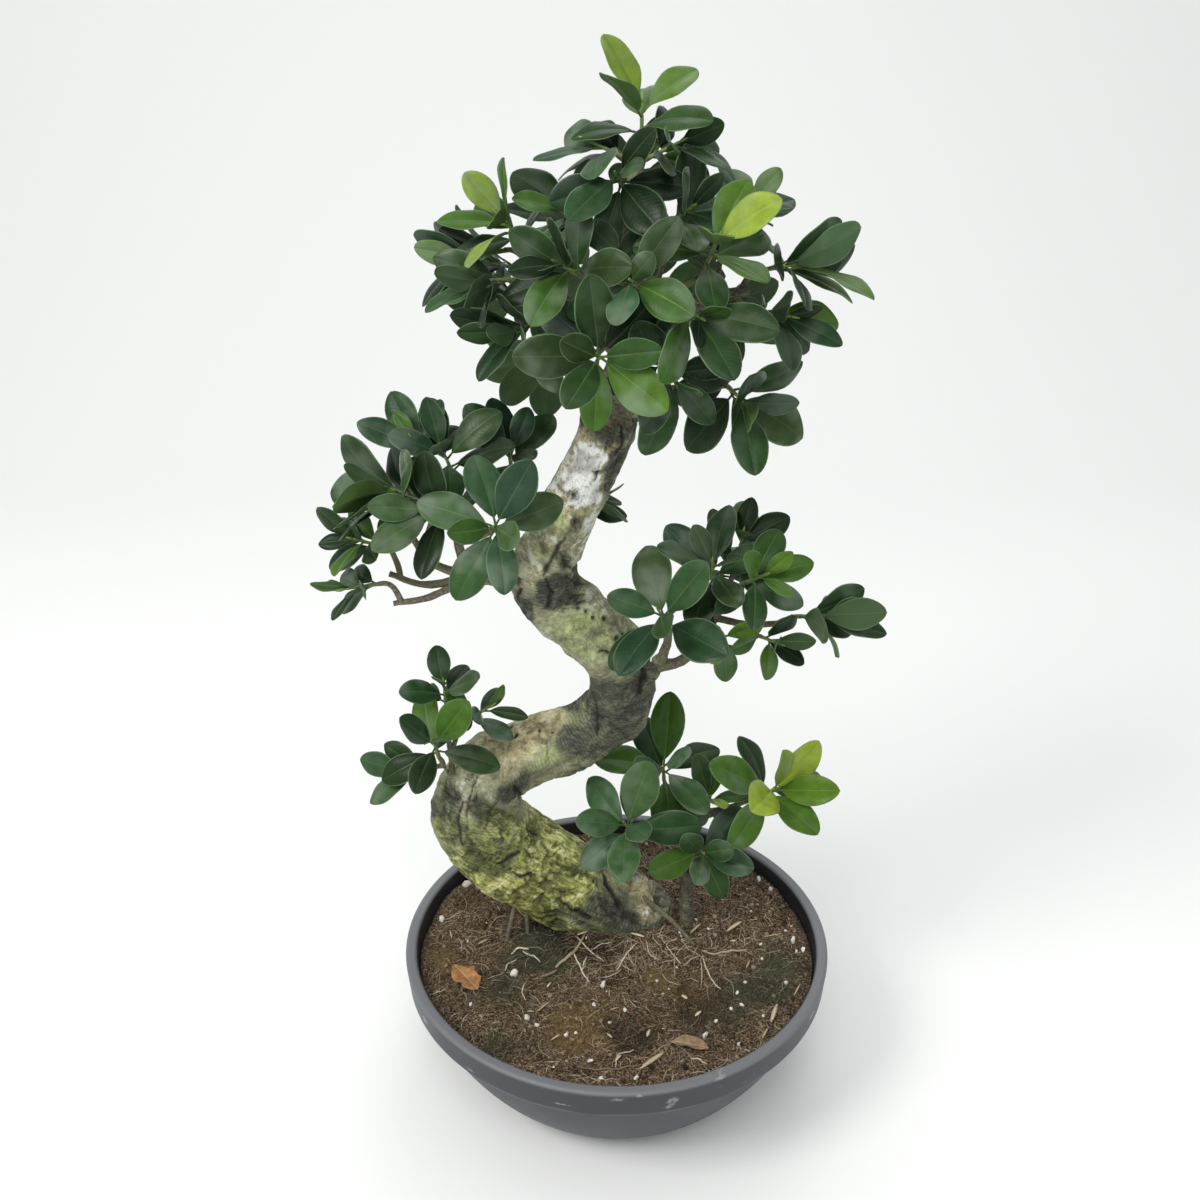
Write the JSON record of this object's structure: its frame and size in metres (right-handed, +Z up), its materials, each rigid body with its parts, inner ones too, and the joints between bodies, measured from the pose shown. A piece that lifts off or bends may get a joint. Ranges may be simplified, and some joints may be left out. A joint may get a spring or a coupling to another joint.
{
  "type": "ginseng ficus in a bowl",
  "caption": "Ginseng ficus bonsai with an S-shaped trunk and leafy pads, growing in a wide low round plastic bowl of soil.",
  "frame": {"origin": "centre of the bowl's flat base, on the surface that the bowl stands on", "axes": "+Z up, +X to the right and -Y towards the viewer of the picture's front side"},
  "size_m": [0.4252, 0.36, 0.8328],
  "materials": {
    "bowl": "satin dark slate grey moulded plastic",
    "soil": "damp fibrous brown potting soil with pale fine roots",
    "bark": "grey-brown bark with green algae and moss, paler on the upper trunk",
    "foliage": "leathery dark green leaves with a soft gloss",
    "young_foliage": "leathery bright yellow-green young leaves with a soft gloss",
    "dry_leaf": "dry matt brown leaf"
  },
  "bodies": {
    "root": {"bowl": "bowl", "soil": "soil", "trunk": "bark", "crown_top": "young_foliage", "crown_leader_left": "foliage", "crown_leader_right": "foliage", "crown_leader_front": "foliage", "crown_leader_back": "foliage", "crown_high_left": "foliage", "crown_high_right": "foliage", "crown_left_top": "young_foliage", "crown_left_end": "foliage", "crown_left_middle": "foliage", "crown_left_low": "foliage", "crown_front_left": "foliage", "crown_front": "foliage", "crown_front_low": "foliage", "crown_right_low": "foliage", "crown_right_front": "young_foliage", "crown_middle": "foliage", "crown_front_right": "foliage", "crown_right_end": "foliage", "crown_right_middle": "foliage", "crown_right_top": "foliage", "left_front": "foliage", "left_end": "foliage", "left_middle": "foliage", "left_top": "foliage", "left_back": "foliage", "left_low_end": "foliage", "left_lowest": "foliage", "left_behind": "foliage", "right_left": "foliage", "right_top": "foliage", "right_high": "foliage", "right_middle": "young_foliage", "right_end": "foliage", "right_low": "foliage", "right_under": "young_foliage", "right_back": "foliage", "low_front": "foliage", "low_top": "foliage", "low_right": "foliage", "low_under": "foliage", "side_front": "foliage", "side_left": "foliage", "side_middle": "foliage", "side_right": "young_foliage", "side_low": "foliage", "left_rise": "foliage", "crown_left_low_far": "foliage", "crown_front_left_far": "foliage", "crown_front_far": "foliage", "crown_right_low_far": "foliage", "crown_right_front_far": "foliage", "crown_front_right_far": "foliage", "crown_right_end_far": "foliage", "crown_right_middle_far": "foliage", "fallen_leaf_orange": "dry_leaf", "fallen_leaf_brown": "dry_leaf"}
  },
  "joints": []
}
